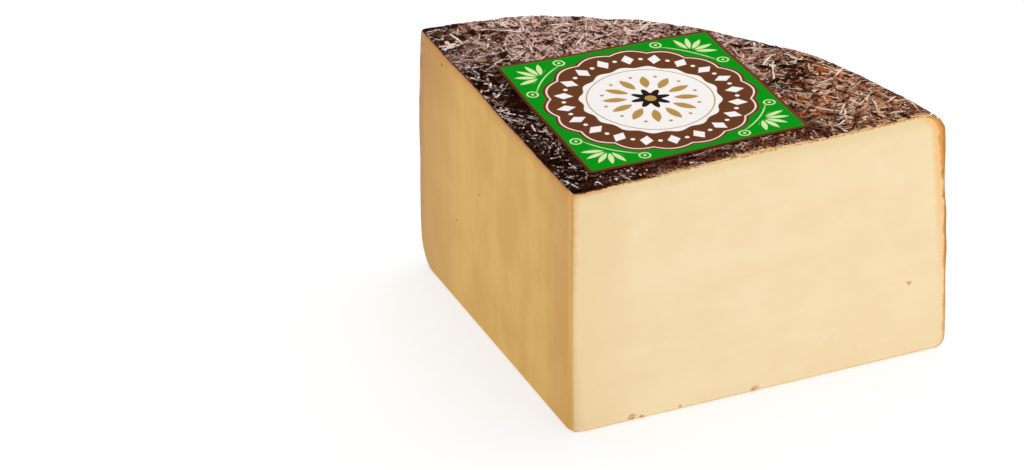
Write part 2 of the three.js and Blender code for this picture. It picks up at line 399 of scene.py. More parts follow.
def rim_points(share):
    """The rim from the flat top down to the base, one column for every share."""
    radius, height, out, up = rim_section(share)
    turn = (share * CUT_ANGLE)[:, None]
    far = reach(turn, radius)
    rise = rind_rise(far * np.cos(turn), far * np.sin(turn), height)
    far = far + rise * out
    return np.stack([far * np.cos(turn), far * np.sin(turn), height + rise * up], -1)


def cut_points(top, rim):
    """A knife cut, filled in between its top edge, its rim edge, the corner and the base."""
    even = np.linspace(0, 1, rim.shape[0])
    bunched = (1 - np.cos(math.pi * even)) / 2
    fall = even + ROW_BUNCHING * (bunched - even)
    corner = np.stack([0 * fall, 0 * fall, top[0, 2] * (1 - fall)], -1)
    along = np.linspace(0, 1, top.shape[0])[:, None, None]
    down = fall[None, :, None]
    base = along[:, 0] * rim[-1]
    across = (1 - down) * top[:, None] + down * base[:, None]
    lengthwise = (1 - along) * corner[None] + along * rim[None]
    corners = (1 - along) * ((1 - down) * top[0] + down * base[0]) \
        + along * ((1 - down) * top[-1] + down * base[-1])
    return across + lengthwise - corners


def round_upright_edge(points):
    """Rounds the edge where the two cuts meet, about centres inside the cheese."""
    low = 1 - smoothstep(points[:, 2], 0, WHEEL_HEIGHT / 2)
    rounding = CUT_EDGE_ROUNDING + (CUT_FOOT_ROUNDING - CUT_EDGE_ROUNDING) * low
    centre = np.stack([rounding / math.tan(CUT_ANGLE / 2), rounding], -1)
    offset = points[:, :2] - centre
    length = np.maximum(np.linalg.norm(offset, axis=1), 1e-9)
    towards_front = -offset[:, 1] / length
    towards_left = -from_left_cut(*offset.T) / length
    span = math.cos(math.pi - CUT_ANGLE)
    in_corner = (towards_front > span) & (towards_left > span)
    in_corner &= (offset @ (math.cos(CUT_ANGLE / 2), math.sin(CUT_ANGLE / 2))) < 0
    kept = np.where(in_corner, np.maximum(towards_front, towards_left), 1.0)
    points[:, :2] = centre + offset * kept[:, None]


def soften_foot(points):
    """Rounds the edges along which the cuts meet the base."""
    low = np.clip(1 - points[:, 2] / FOOT_EDGE_ROUNDING, 0, 1)
    inward = FOOT_EDGE_ROUNDING * (1 - np.sqrt(1 - low * low))
    front_share = 1 - smoothstep(points[:, 1], 0, 2 * FOOT_EDGE_ROUNDING)
    left_share = 1 - smoothstep(from_left_cut(*points.T[:2]), 0, 2 * FOOT_EDGE_ROUNDING)
    points[:, 1] += inward * front_share
    points[:, 0] += inward * left_share


def square_faces(number):
    """The four-sided faces of a square of numbered points."""
    faces = np.stack([number[:-1, :-1], number[1:, :-1], number[1:, 1:], number[:-1, 1:]], -1)
    return faces.reshape(-1, 4)


def joined(squares):
    """Sews squares of points into a skin: points, faces, slots and flat places at the faces' corners."""
    faces, slots, count = [], [], 0
    for points, slot, _, inside_out in squares:
        number = count + np.arange(points[..., 0].size).reshape(points.shape[:2])
        face = square_faces(number)
        faces.append(face[:, ::-1] if inside_out else face)
        slots.append(np.full(len(face), slot))
        count += number.size
    points = np.concatenate([square[0].reshape(-1, 3) for square in squares])
    flat = np.concatenate([square[2].reshape(-1, 2) for square in squares])
    faces = np.concatenate(faces)
    _, first, number = np.unique(np.round(points, 4), axis=0, return_index=True, return_inverse=True)
    return points[first], number.reshape(-1)[faces], np.concatenate(slots), flat[faces]


RIND, CUT = 0, 1
# The left cut and the rim lie clear of the rest on the flat pattern
CUT_MAP_SHIFT = 400.0
RIM_MAP_SHIFT = 700.0


def cheese_shell():
    """The skin of the top, the rim and the cuts, and the edge of the base that it leaves open."""
    top, share = top_points()
    round_rim = np.concatenate([share[-1, :], share[-2::-1, -1]])
    rim = rim_points(round_rim)
    front = cut_points(top[:, 0], rim[0])
    left = cut_points(top[0, :], rim[-1])
    around = np.broadcast_to((round_rim * CUT_ANGLE * WHEEL_RADIUS)[:, None], rim.shape[:2])
    # Points, slot, places on the flat pattern, and whether the square comes inside out
    skin = joined((
        (top, RIND, top[..., :2], False),
        (rim, RIND, np.stack([around + RIM_MAP_SHIFT, rim[..., 2]], -1), True),
        (front, CUT, front[..., [0, 2]], True),
        (left, CUT, left[..., 1:] + (CUT_MAP_SHIFT, 0.0), False),
    ))
    return skin, np.concatenate([front[:, -1], rim[1:, -1], left[-2:0:-1, -1]])


def mesh_object(name, points, faces, materials, slots=None):
    """A smooth-shaded object from points in millimetres, measured from the corner of the cuts."""
    mesh = bpy.data.meshes.new(name)
    placed = (points + (*CORNER, 0.0)) * MM
    mesh.from_pydata(placed.tolist(), [], [list(map(int, face)) for face in faces])
    for material in materials:
        mesh.materials.append(material)
    if slots is not None:
        mesh.polygons.foreach_set("material_index", np.asarray(slots, np.int32))
    mesh.polygons.foreach_set("use_smooth", np.ones(len(mesh.polygons), bool))
    mesh.update()
    return linked(name, mesh)


def linked(name, data):
    """An object of the scene that shows the data."""
    made = bpy.data.objects.new(name, data)
    bpy.context.scene.collection.objects.link(made)
    return made


def set_values(mesh, name, kind, values):
    """Keeps a number or a vector for every point of a mesh, under a name."""
    layer = mesh.attributes.new(name, kind, "POINT")
    field = "value" if kind == "FLOAT" else "vector"
    layer.data.foreach_set(field, np.asarray(values, np.float32).reshape(-1))


def set_map(mesh, name, places):
    """A flat pattern: a place for every corner of the faces, and zero for the corners left over."""
    values = np.zeros((len(mesh.loops), 2), np.float32)
    values[:places.size // 2] = places.reshape(-1, 2)
    mesh.uv_layers.new(name=name).data.foreach_set("uv", values.reshape(-1))


def surface_values(x, y, z, bare_rind):
    """Depths below the top and the rim in millimetres, and where each kind of flake may lie."""
    top_depth = WHEEL_HEIGHT + swell(x, y, WHEEL_HEIGHT) - z
    from_axis = np.hypot(x - WHEEL_AXIS[0], y - WHEEL_AXIS[1])
    side_depth = rim_distance(from_axis, z, np.clip(np.arctan2(y, x) / CUT_ANGLE, 0, 1))
    rubbed = bare_rind * (1 - pressed(x, y, z)) * smoothstep(z, 1, 5)
    past_strips = (0.35 + 0.65 * smoothstep(x, 0, 35)) * (0.5 + 0.5 * smoothstep(y, -5, 25))
    back = smoothstep(x + y, 95, 165) * past_strips
    past_tip = 0.62 + 0.2 * smoothstep(x + y, 15, 85)
    long_share = back * (1 - 0.42 * smoothstep(top_depth, 6, 24))
    return {"top_depth": top_depth, "side_depth": side_depth, "rubbed": rubbed,
            "rubbed_back": rubbed * long_share,
            "rubbed_near": rubbed * (1 - 0.62 * back) * past_tip}


def match_points(points, wanted):
    """The numbers of the points that lie at the wanted places, in order and without repeats."""
    numbers = {tuple(key): i for i, key in enumerate(np.round(points, 4).tolist())}
    found = [numbers[tuple(key)] for key in np.round(wanted, 4).tolist()]
    return list(dict.fromkeys(found))


def cheese_body(rind, cut):
    """The cheese with its rind and cuts as one closed shell, before its fine relief."""
    (points, faces, slots, flat), base_edge = cheese_shell()
    edge_number = match_points(points, base_edge)
    on_rind = np.zeros(len(points), bool)
    on_cut = np.zeros(len(points), bool)
    on_rind[faces[slots == RIND].reshape(-1)] = True
    on_cut[faces[slots == CUT].reshape(-1)] = True
    x, y, z = points.T
    values = surface_values(x, y, z, on_rind & ~on_cut)
    points = points.copy()
    round_upright_edge(points)
    soften_foot(points)
    points[on_rind & on_cut & (z > 0.9 * WHEEL_HEIGHT), 2] -= TOP_EDGE_WEAR
    points[edge_number, 2] = 0.0
    points = np.vstack([points, points[edge_number].mean(axis=0)])
    fan = [(edge_number[i - 1], len(points) - 1, edge_number[i]) for i in range(len(edge_number))]
    all_slots = np.concatenate([slots, np.full(len(fan), RIND)])
    body = mesh_object("cheese", points, [*faces, *fan], [rind, cut], all_slots)
    for name, value in values.items():
        set_values(body.data, name, "FLOAT", np.append(value, 0.0))
    set_map(body.data, "flat", flat * MM)
    return body


# ---- Geometry Nodes ----
def new_tree(name, *sizes):
    """A tree with a mesh coming in and going out, and a named number for each size."""
    tree = bpy.data.node_groups.new(name, "GeometryNodeTree")
    tree.interface.new_socket("Mesh", in_out="INPUT", socket_type="NodeSocketGeometry")
    for size in sizes:
        tree.interface.new_socket(size, in_out="INPUT", socket_type="NodeSocketFloat")
    tree.interface.new_socket("Mesh", in_out="OUTPUT", socket_type="NodeSocketGeometry")
    start = tree.nodes.new("NodeGroupInput")
    place = scale(node(tree, "GeometryNodeInputPosition"), 1 / MM)
    return tree, place, [Wire(tree, socket) for socket in start.outputs[:len(sizes) + 1]]


def run_tree(tree, base, name, sizes):
    """What the tree makes of the base object, as an object of its own with a plain mesh."""
    modifier = base.modifiers.new(tree.name, "NODES")
    modifier.node_group = tree
    for item in tree.interface.items_tree:
        if item.in_out == "INPUT" and item.name in sizes:
            modifier[item.identifier] = float(sizes[item.name])
    graph = bpy.context.evaluated_depsgraph_get()
    mesh = bpy.data.meshes.new_from_object(base.evaluated_get(graph), preserve_all_data_layers=True,
                                           depsgraph=graph)
    base.modifiers.remove(modifier)
    mesh.name = name
    return linked(name, mesh)


def random_value(tree, low, high, seed):
    return node(tree, "FunctionNodeRandomValue", {"data_type": "FLOAT"}, low, high, named={"Seed": seed})


def named_value(tree, name, kind="FLOAT"):
    return node(tree, "GeometryNodeInputNamedAttribute", {"data_type": kind}, named={"Name": name})


def stored(mesh, domain, name, value):
    """Keeps a number on a mesh or on its instances, under a name that lasts."""
    return node(mesh.tree, "GeometryNodeStoreNamedAttribute", {"data_type": "FLOAT", "domain": domain},
                mesh, named={"Name": name, "Value": value})


def shifted(mesh, offset):
    return node(mesh.tree, "GeometryNodeSetPosition", None, mesh, named={"Offset": offset})


def wobble(place, size):
    """Three independent noises from -0.5 to 0.5, as one vector."""
    return vector("SUBTRACT", noise(place, size, 1.0, 0.5).beside("Color"), (0.5, 0.5, 0.5))


def turned_by(rotation, turn):
    """A rotation, turned first about its own upright axis."""
    spin = node(turn.tree, "FunctionNodeEulerToRotation", None, together(0.0, 0.0, turn))
    return node(turn.tree, "FunctionNodeRotateRotation", {"rotation_space": "LOCAL"}, rotation, spin)


def flakes_on(points, ball, rotation, size, seed):
    """A stretched ball on every point, each with a tone of its own, as loose mesh."""
    tree = points.tree
    flakes = node(tree, "GeometryNodeInstanceOnPoints",
                  named={"Points": points, "Instance": ball, "Rotation": rotation, "Scale": size})
    flakes = stored(flakes, "INSTANCE", "tone", random_value(tree, 0.0, 1.0, seed))
    return node(tree, "GeometryNodeRealizeInstances", None, flakes)


def end_flakes(mesh, material):
    smooth = node(mesh.tree, "GeometryNodeSetShadeSmooth", None, mesh)
    end_tree(node(mesh.tree, "GeometryNodeSetMaterial", None, smooth, named={"Material": material}))


def relief_tree():
    """Fine relief: a coarse, cracked crust on the rubbed rind and a faint grain on the cuts."""
    tree, place, (mesh, crust_height, crust_size, grain_height) = new_tree("fine relief", *CRUST_RELIEF)
    rubbed = named_value(tree, "rubbed")
    near = scale(place, 1.0 / crust_size)
    lumps = noise(near, 1.0, 4.0, 0.6) - 0.5
    ridges = abs(noise(near, 0.45, 2.0, 0.5) - 0.5)
    crust = (lumps * 1.3 - ridges) * crust_height * rubbed
    grain = (noise(place, 9.0, 3.0, 0.5) - 0.5) * grain_height * (1 - rubbed)
    above_base = parts(place)[2].smooth(1.0, 4.0)
    normal = node(tree, "GeometryNodeInputNormal")
    end_tree(shifted(mesh, scale(normal, (crust + grain) * above_base * MM)))
    return tree


def scatter_tree(name, where, material, seed, shortness, facets):
    """Small irregular flakes, pressed onto the rind where the named attribute is 1, turned at random."""
    tree, place, (mesh, density, clump_size, shortest, longest, narrowest, widest, rise, bend) = new_tree(
        name, *LONG_STROKE_SIZES)
    clumps = noise(scale(place, 1.0 / clump_size), 1.0).smooth(0.38, 0.64)
    full = named_value(tree, where).smooth(0.3, 0.9) * (clumps * 0.85 + 0.15)
    points = node(tree, "GeometryNodeDistributePointsOnFaces", {"distribute_method": "RANDOM"}, mesh,
                  named={"Density": density * full, "Seed": seed})
    rotation = turned_by(points.beside("Rotation"), random_value(tree, 0.0, math.pi, seed + 1))
    share = random_value(tree, 0.0, 1.0, seed + 2) ** shortness
    length = shortest + (longest - shortest) * share
    width = random_value(tree, narrowest, widest, seed + 3)
    size = together(length * MM / 2, width * MM / 2, rise * MM)
    ball = node(tree, "GeometryNodeMeshIcoSphere", None, 1.0, facets)
    lift = parts(node(tree, "GeometryNodeInputPosition"))[2] * rise * MM
    ball = stored(ball, "POINT", "lift", lift)
    loose = flakes_on(points, ball, rotation, size, seed + 4)
    bent = shifted(loose, scale(wobble(place, 2.6), bend * MM))
    end_flakes(laid_on(bent, mesh), material)
    return tree


def laid_on(flakes, mesh):
    """Lays flakes on the rubbed rind, each point as high above it as its lift says."""
    tree = flakes.tree
    bare = named_value(tree, "rubbed").below(RUBBED_ENOUGH)
    rind = node(tree, "GeometryNodeDeleteGeometry", {"domain": "POINT"}, mesh, bare)
    nearest = node(tree, "GeometryNodeProximity", {"target_element": "FACES"}, rind)
    outward = node(tree, "GeometryNodeSampleNearestSurface", {"data_type": "FLOAT_VECTOR"}, rind,
                   node(tree, "GeometryNodeInputNormal"))
    place = vector("ADD", nearest, scale(outward, named_value(tree, "lift")))
    return node(tree, "GeometryNodeSetPosition", None, flakes, named={"Position": place})


def large_flake_tree(material):
    """The large flakes, one on each point of the base, with that point's own size and turn."""
    tree, place, (mesh,) = new_tree("large flakes")
    points = node(tree, "GeometryNodeMeshToPoints", None, mesh)
    outward = named_value(tree, "outward", "FLOAT_VECTOR")
    upright = node(tree, "FunctionNodeAlignRotationToVector", {"axis": "Z"}, named={"Vector": outward})
    rotation = turned_by(upright, named_value(tree, "turn"))
    ball = node(tree, "GeometryNodeMeshIcoSphere", None, 1.0, 3)
    loose = flakes_on(points, ball, rotation, named_value(tree, "size", "FLOAT_VECTOR"), FLAKE_SEED)
    coarse = vector("MULTIPLY", wobble(place, 3.0), (2.2, 2.2, 0.5))
    fine = vector("MULTIPLY", wobble(place, 0.9), (0.9, 0.9, 0.35))
    end_flakes(shifted(loose, scale(vector("ADD", coarse, fine), MM)), material)
    return tree


# ---- Pieces ----
def even_pair(index):
    return index / PLASTIC_NUMBER % 1, index / PLASTIC_NUMBER ** 2 % 1


def seeded_random(seed):
    """The next of a fixed row of numbers from 0 to 1 at every call."""
    state = seed
    while True:
        state = (state * 1664525 + 1013904223) % 2 ** 32
        yield state / 2 ** 32


def flake_measures(room, numbers):
    def between(pair):
        return pair[0] + (pair[1] - pair[0]) * next(numbers)
    length = min(between(FLAKE_LENGTH), 2 * room)
    size = (length / 2, between(FLAKE_WIDTH) / 2, between(FLAKE_RISE))
    return size, math.pi * next(numbers)


def large_flake_places():
    """Place, outward direction, size and turn of every large flake of the CAD model."""
    numbers = seeded_random(FLAKE_SEED)
    flakes = []
    index = 0
    while len(flakes) < TOP_FLAKES:
        index += 1
        x, y = (WHEEL_RADIUS * value for value in even_pair(index))
        angle = math.atan2(y - WHEEL_AXIS[1], x - WHEEL_AXIS[0])
        radius = math.hypot(x - WHEEL_AXIS[0], y - WHEEL_AXIS[1])
        to_rim = top_radius(rim_at(rim_share(angle))) - radius
        room = min(to_rim, outside_label(x, y)) - FLAKE_CLEARANCE
        if min(room, y, from_left_cut(x, y)) > FLAKE_LENGTH[0] / 4:
            z = WHEEL_HEIGHT + rind_rise(x, y, WHEEL_HEIGHT)
            flakes.append(((x, y, z), (0, 0, 1), *flake_measures(room, numbers)))
    for index in range(1, SIDE_FLAKES + 1):
        flakes.append(side_flake(*even_pair(index), numbers))
    return flakes


def rim_share(angle):
    """How far round the rim a direction from the wheel's axis is, from the front cut to the left."""
    x = WHEEL_AXIS[0] + WHEEL_RADIUS * math.cos(angle)
    y = WHEEL_AXIS[1] + WHEEL_RADIUS * math.sin(angle)
    return min(max(math.atan2(y, x) / CUT_ANGLE, 0), 1)


def rim_end(turn):
    """The direction from the wheel's axis in which a cut leaves the rim."""
    far = reach(turn, WHEEL_RADIUS)
    return math.atan2(far * math.sin(turn) - WHEEL_AXIS[1], far * math.cos(turn) - WHEEL_AXIS[0])


def side_flake(around, down, numbers):
    margin = FLAKE_LENGTH[0] / WHEEL_RADIUS
    start, end = rim_end(0) + margin, rim_end(CUT_ANGLE) - margin
    angle = start + (end - start) * around
    share = rim_share(angle)
    rim = rim_at(share)
    low, high = rim["foot_up"] + FLAKE_LENGTH[0], WHEEL_HEIGHT - rim["top_down"]
    z = low + (high - low) * down
    fall = (high - z) / (high - rim["foot_up"])
    outward = np.array([math.cos(angle), math.sin(angle)])
    place = WHEEL_AXIS + outward * (WHEEL_RADIUS + side_bulge(rim, fall)) * widening(share)
    place = place + outward * rind_rise(*place, z)
    return (*place, z), (*outward, 0), *flake_measures(FLAKE_LENGTH[1], numbers)


def large_flakes(material):
    places, outward, sizes, turns = (np.array(column) for column in zip(*large_flake_places()))
    base = mesh_object("flake_places", places, [], [])
    set_values(base.data, "outward", "FLOAT_VECTOR", outward)
    set_values(base.data, "size", "FLOAT_VECTOR", sizes.astype(np.float32) * MM)
    set_values(base.data, "turn", "FLOAT", turns)
    made = run_tree(large_flake_tree(material), base, "rind_flakes_large", {})
    bpy.data.objects.remove(base)
    return made


def trim_at_cuts(piece):
    """Slides what a knife would have cut off back to just proud of the cut."""
    mesh = piece.data
    places = np.zeros(len(mesh.vertices) * 3, np.float32)
    mesh.vertices.foreach_get("co", places)
    places = places.reshape(-1, 3) / MM - (*CORNER, 0.0)
    places[:, 1] = np.maximum(places[:, 1], -FLAKE_PROUD)
    short = np.maximum(-FLAKE_PROUD - from_left_cut(*places.T[:2]), 0)
    places[:, 0] += short * math.sin(CUT_ANGLE)
    places[:, 1] -= short * math.cos(CUT_ANGLE)
    mesh.vertices.foreach_set("co", ((places + (*CORNER, 0.0)) * MM).reshape(-1))
    mesh.update()


def paper_label(print_side, bare_side):
    """A thin sheet that follows the swell of the wheel's top, printed above and bare below."""
    step = np.linspace(0, 1, LABEL_STEPS + 1)
    u, v = np.meshgrid(step, step, indexing="ij")
    corners = (LABEL_NEAR, LABEL_RIGHT, LABEL_FAR, LABEL_LEFT)
    shares = ((1 - u) * (1 - v), u * (1 - v), u * v, (1 - u) * v)
    flat = sum(share[..., None] * corner for share, corner in zip(shares, corners))
    x, y = flat[..., 0], flat[..., 1]
    low = WHEEL_HEIGHT + LABEL_GAP + swell(x, y, WHEEL_HEIGHT)
    number = np.arange(u.size).reshape(u.shape)
    top = square_faces(number)
    rim = np.concatenate([number[:-1, 0], number[-1, :-1], number[:0:-1, -1], number[0, :0:-1]])
    after = np.roll(rim, -1)
    edge = np.stack([rim + u.size, after + u.size, after, rim], -1)
    faces = np.concatenate([top, edge, top[:, ::-1] + u.size])
    sides = [np.stack([x, y, low + lift], -1).reshape(-1, 3) for lift in (LABEL_THICKNESS, 0.0)]
    slots = np.concatenate([np.zeros(len(top) + len(edge)), np.ones(len(top))])
    label = mesh_object("paper_label", np.concatenate(sides), faces, [print_side, bare_side], slots)
    sheet_places = np.stack([u.reshape(-1), v.reshape(-1)], -1)
    set_map(label.data, "print", sheet_places[faces.reshape(-1) % u.size])
    return label


# ---- Materials ----
# Colours are as they look on screen, 0 to 255. Places and sizes are in millimetres. Noise runs
# from 0 to 1 about a middle of 0.5, and smooth() gives the levels between which a mask changes.
STROKE_SOFTNESS = 0.3
# Spacing, length and width of each layer of strokes
LONG_STROKES = ((12.0, 26.0, 1.2), (9.0, 20.0, 1.1), (7.0, 15.0, 1.0))
SHORT_STROKES = ((5.6, 5.5, 1.0), (4.4, 4.0, 0.9), (3.4, 2.4, 0.9))
# Middles of a darker patch, of a patch of cream flakes and of a star of them
DARK_PATCH = (118.0, 58.0)
CREAM_PATCH = (131.0, 11.0)
CREAM_STAR = (12.0, 137.5)
STAR_RAYS = 6
# Marks on the cuts: way along the cut, height, size
FRONT_CRYSTALS = ((113.0, 17.1, 1.4), (118.5, 15.0, 0.9), (129.1, 10.0, 1.3), (108.0, 20.5, 0.8))
FRONT_CRUMBS = ((26.5, 2.4, 2.0), (30.5, 1.6, 1.3), (81.6, 1.7, 2.2), (47.9, 2.2, 1.1), (150.8, 33.7, 1.4))
LEFT_PINHOLES = ((135.2, 101.6, 0.75), (96.0, 61.0, 0.5), (120.0, 38.0, 0.45))


def polar(x, y):
    return (x * x + y * y) ** 0.5, y.angle_to(x)


def folded(angle, count, offset=0.0):
    """The angle from the middle of the nearest of count equal sectors."""
    sector = 2 * math.pi / count
    return ((angle / sector + offset).fraction() - 0.5) * sector


def stroke_layer(place, spacing, length, width, shift):
    """Short strokes, one to a cell and each turned its own way: 1 on a stroke, 0 beside it."""
    moved = vector("ADD", scale(place, 1 / spacing), (shift, 2.7 * shift, 0.0))
    cell = node(place.tree, "ShaderNodeTexVoronoi", {"voronoi_dimensions": "2D"},
                named={"Vector": moved, "Scale": 1.0})
    x, y, _ = parts(vector("SUBTRACT", moved, cell.beside("Position")))
    turn, stretch, weight = parts(cell.beside("Color"))
    turn = turn * (2 * math.pi)
    along = x * turn.cos() + y * turn.sin()
    across = y * turn.cos() - x * turn.sin() + along * along * (stretch - 0.5) * 0.4
    half_length = (stretch * 0.7 + 0.3) * (length / spacing / 2)
    half_width = (weight * 0.7 + 0.3) * (width / spacing / 2)
    taper = 1 - (along / half_length) ** 2
    return ((half_width * taper - abs(across)) * (spacing / STROKE_SOFTNESS) + 0.5).clamp()


def strokes(place, layers, shift):
    """Every layer of strokes at once, the palest on top."""
    marks = stroke_layer(place, *layers[0], shift)
    for number, layer in enumerate(layers[1:], start=2):
        marks = marks.max(stroke_layer(place, *layer, shift * number))
    return marks


def far_from_tip(place):
    """0 near the corner of the cuts and along the narrow strips beside the label, 1 towards the rim."""
    x, y, _ = parts(place)
    past_strips = (x.smooth(-5.0, 50.0) * 0.7 + 0.3) * (y.smooth(-5.0, 22.0) * 0.35 + 0.65)
    dark_patch, _ = polar(x - DARK_PATCH[0], y - DARK_PATCH[1])
    return (x + y).smooth(95.0, 175.0) * past_strips * (1 - dark_patch.smooth(24.0, 8.0) * 0.4)


def towards_front_end(place):
    """0 round the back of the rim, 1 where the rim meets the front cut."""
    x, y, _ = parts(place)
    return (x - y).smooth(10.0, 110.0)


def dark_ground(place):
    """The dried rub between its pale flakes: nearly black near the corner, red-brown towards the rim, under
    a painted sheen that grows towards the rim.
    """
    x, y, _ = parts(place)
    far = far_from_tip(place)
    front_end = towards_front_end(place)
    patches = noise(vector("ADD", place, (12.0, 40.0, 0.0)), 26.0, 3.0, 0.55)
    blotches = noise(place, 6.0, 4.0, 0.7)
    warm = noise(vector("ADD", place, (70.0, 20.0, 5.0)), 11.0, 4.0, 0.6)
    streaks = noise(drawn_out(place, 0.2, 1.0, 1.0), 1.3)
    hollows = noise(place, 2.0, 4.0, 0.72).smooth(0.55, 0.43)
    dark = blend(far, (30, 12, 6), (50, 23, 14))
    brown = blend(far, (66, 38, 27), blend(front_end, (150, 98, 80), (150, 88, 58)))
    is_brown = (blotches + patches * 0.5 + far * 0.08).smooth(0.68, 0.84)
    # Painted sheen: a pale pink haze standing in for light glancing off the rub, stronger towards the rim.
    painted_sheen = (patches + far * (0.18 - front_end * 0.04)).smooth(0.53, 0.7) * blotches.smooth(0.42, 0.56)
    painted_sheen = painted_sheen * (far * (0.8 - front_end * 0.25) + 0.06)
    orange = warm.smooth(0.53, 0.63) * far * (front_end * 0.9 + 0.1)
    front_strip = y.smooth(16.0, 6.0) * x.smooth(5.0, 50.0)
    return paint(
        dark,
        (is_brown, brown),
        (painted_sheen, blend(front_end, (232, 194, 180), (222, 166, 130))),
        (orange, (200, 104, 50)),
        (front_strip * streaks.smooth(0.4, 0.56) * 0.85, (124, 68, 50)),
        (hollows, blend(far.max(front_strip * 0.7), (28, 12, 8), (60, 28, 16))),
    )


def cream_flakes(place):
    """Cream flakes in two places: many in a patch at the front end, and a few in a star at the left."""
    x, y, _ = parts(place)
    from_patch, _ = polar((x - CREAM_PATCH[0]) * 0.6, y - CREAM_PATCH[1])
    lengthwise = noise(drawn_out(place, 0.4, 1.0, 1.0), 1.5)
    patch = from_patch.smooth(13.0, 5.0) * lengthwise.smooth(0.53, 0.59)
    wander = (noise(place, 3.0, 2.0, 0.5) - 0.5) * 3.0
    from_star, angle = polar(x - CREAM_STAR[0] + wander, y - CREAM_STAR[1] + wander)
    rays = (abs(folded(angle, STAR_RAYS)) * from_star).smooth(0.9, 0.5) * from_star.smooth(5.0, 4.2)
    return patch.max(rays)


def pale_marks(place, flat):
    """1 on the pale strokes and specks of the rub: long ones towards the rim, fine ones near the corner.
    They are pale flakes, and partly painted highlights standing in for the rub's gloss.
    """
    x, y, z = parts(place)
    far = far_from_tip(place)
    broken = noise(place, 1.8).smooth(0.42, 0.5)
    clumps = noise(place, 14.0, 4.0, 0.65) + far * 0.05
    past_tip = (x + y).smooth(10.0, 80.0) * 0.25 + 0.75
    drawn = far.max((x + y).smooth(30.0, 80.0) * broken * 0.55) * (z.smooth(84.0, 100.0) * 0.5 + 0.5)
    long_marks = strokes(flat, LONG_STROKES, 1.3) * drawn * clumps.smooth(0.38, 0.48)
    short_marks = strokes(flat, SHORT_STROKES, 2.1) * clumps.smooth(0.46, 0.56) * broken
    granules = noise(place, 1.7).smooth(0.59, 0.65) * clumps.smooth(0.44, 0.56)
    marks = long_marks.max(short_marks * past_tip).max(granules * past_tip * 0.85)
    return marks.max(cream_flakes(place))


def rind_material():
    """A dark, dried rub with pale strokes and specks, some of them painted highlights, and a painted sheen
    towards the rim.
    """
    material, tree = new_material("rubbed_rind")
    place = in_millimetres(tree)
    flat = scale(node(tree, "ShaderNodeUVMap", {"uv_map": "flat"}), 1 / MM)
    x, y, _ = parts(place)
    marks = pale_marks(place, flat)
    tone = noise(place, 5.0).smooth(0.35, 0.65)
    front_end = towards_front_end(place)
    pale = blend(front_end, (255, 236, 228), (255, 228, 200))
    buff = blend(front_end, (220, 178, 156), (216, 166, 128))
    # The edge of the front cut shows golden specks and a worn, pale line
    past_corner = x.smooth(14.0, 50.0)
    specks = noise(place, 1.6).smooth(0.46, 0.54)
    golden = (y + noise(place, 9.0, 2.0, 0.5) * 6.0).smooth(6.8, 3.2) * specks * past_corner
    edge_line = y.smooth(1.3, 0.5) * noise(place, 5.0).smooth(0.4, 0.5) * past_corner
    # The pale marks are partly painted highlights: the rub has no specular of its own, so its glints are
    # drawn in them.
    colour = paint(
        dark_ground(place),
        (marks * 0.95, blend(tone, buff, pale)),
        (golden * 0.6, (226, 172, 116)),
        (edge_line * 0.85, (252, 216, 166)),
    )
    grain = noise(place, 2.0, 4.0, 0.72)
    finish_material(tree, Base_Color=colour, Roughness=grain.range(0.3, 0.7, 0.6, 0.9),
                    Normal=bump(marks * 0.5 + grain * 0.5, 0.8, 0.8), Specular_IOR_Level=0.0)
    return material


def flake_material(name, pale, paleness):
    """Dried flakes of the rub, each of its own tone; paleness is the share that stands out."""
    material, tree = new_material(name)
    place = in_millimetres(tree)
    tone = attribute(tree, "tone").smooth(1 - paleness, 1 - 0.7 * paleness)
    fine = noise(place, 1.5, 3.0, 0.65)
    # Darker flakes take the rub's ground colour, its painted sheen included.
    colour = blend(tone * fine.smooth(0.36, 0.47), dark_ground(place), pale)
    finish_material(tree, Base_Color=colour, Roughness=0.8, Normal=bump(fine, 0.2, 0.8),
                    Specular_IOR_Level=0.0)
    return material


def spots(along, height, marks, soft):
    """1 on the listed marks of a cut."""
    total = 0.0
    for where, how_high, size in marks:
        away = ((along - where) ** 2 + (height - how_high) ** 2) ** 0.5
        total = total + away.smooth(size, size * soft)
    return total


def rind_section(tree, place, rough, on_left):
    """Layers for the rind's section along the rim: a soft glow, a golden band and its darker outside."""
    z = parts(place)[2]
    side_depth = attribute(tree, "side_depth")
    uneven = noise(place, 7.0) - 0.5
    spotted = noise(drawn_out(place, 1.0, 1.0, 0.5), 2.6, 3.0, 0.65)
    upper = z.smooth(66.0, 98.0)
    glow = (side_depth + rough * 3.0 - z * 0.03).smooth(4.0, 1.0) * (z.smooth(10.0, 90.0) * 0.6 + 0.2)
    band = (side_depth + rough * 1.6 + uneven * 4.0 - upper * 1.6).smooth(1.6, 0.7)
    band = band * (z.smooth(2.0, 60.0) * 0.5 + 0.5)
    gold = blend(upper, (212, 150, 70), (228, 158, 78))
    gold = blend((spotted - side_depth * 0.04).smooth(0.52, 0.66), gold, (150, 88, 36))
    tan = blend(spotted.smooth(0.45, 0.6), (214, 168, 122), (190, 142, 100))
    outermost = (side_depth + rough * 1.4).smooth(1.5, 0.6) * (z.smooth(0.0, 60.0) * 0.5 + 0.3)
    return (
        (glow, blend(on_left, (250, 196, 126), (212, 158, 106))),
        (band * 0.95, blend(on_left, gold, tan)),
        (outermost * (1 - on_left), (190, 128, 56)),
    )


def top_edge(x, ragged, fine, on_left):
    """Layers for the cuts' top edge: a cream line in front, and dark drips at the left and the corner."""
    in_front = 1 - on_left
    darkened = on_left.max(x.smooth(26.0, 6.0) * in_front)
    drips = ragged + 0.45 - darkened * 0.9
    return (
        (ragged.smooth(1.2, 0.6) * in_front, blend(fine.smooth(0.4, 0.6), (222, 156, 86), (250, 212, 150))),
        (ragged.smooth(3.4, 1.2) * darkened * 0.55, (212, 128, 54)),
        (drips.smooth(0.75, 0.3), (112, 50, 22)),
        (drips.smooth(0.3, 0.0), (36, 15, 9)),
    )


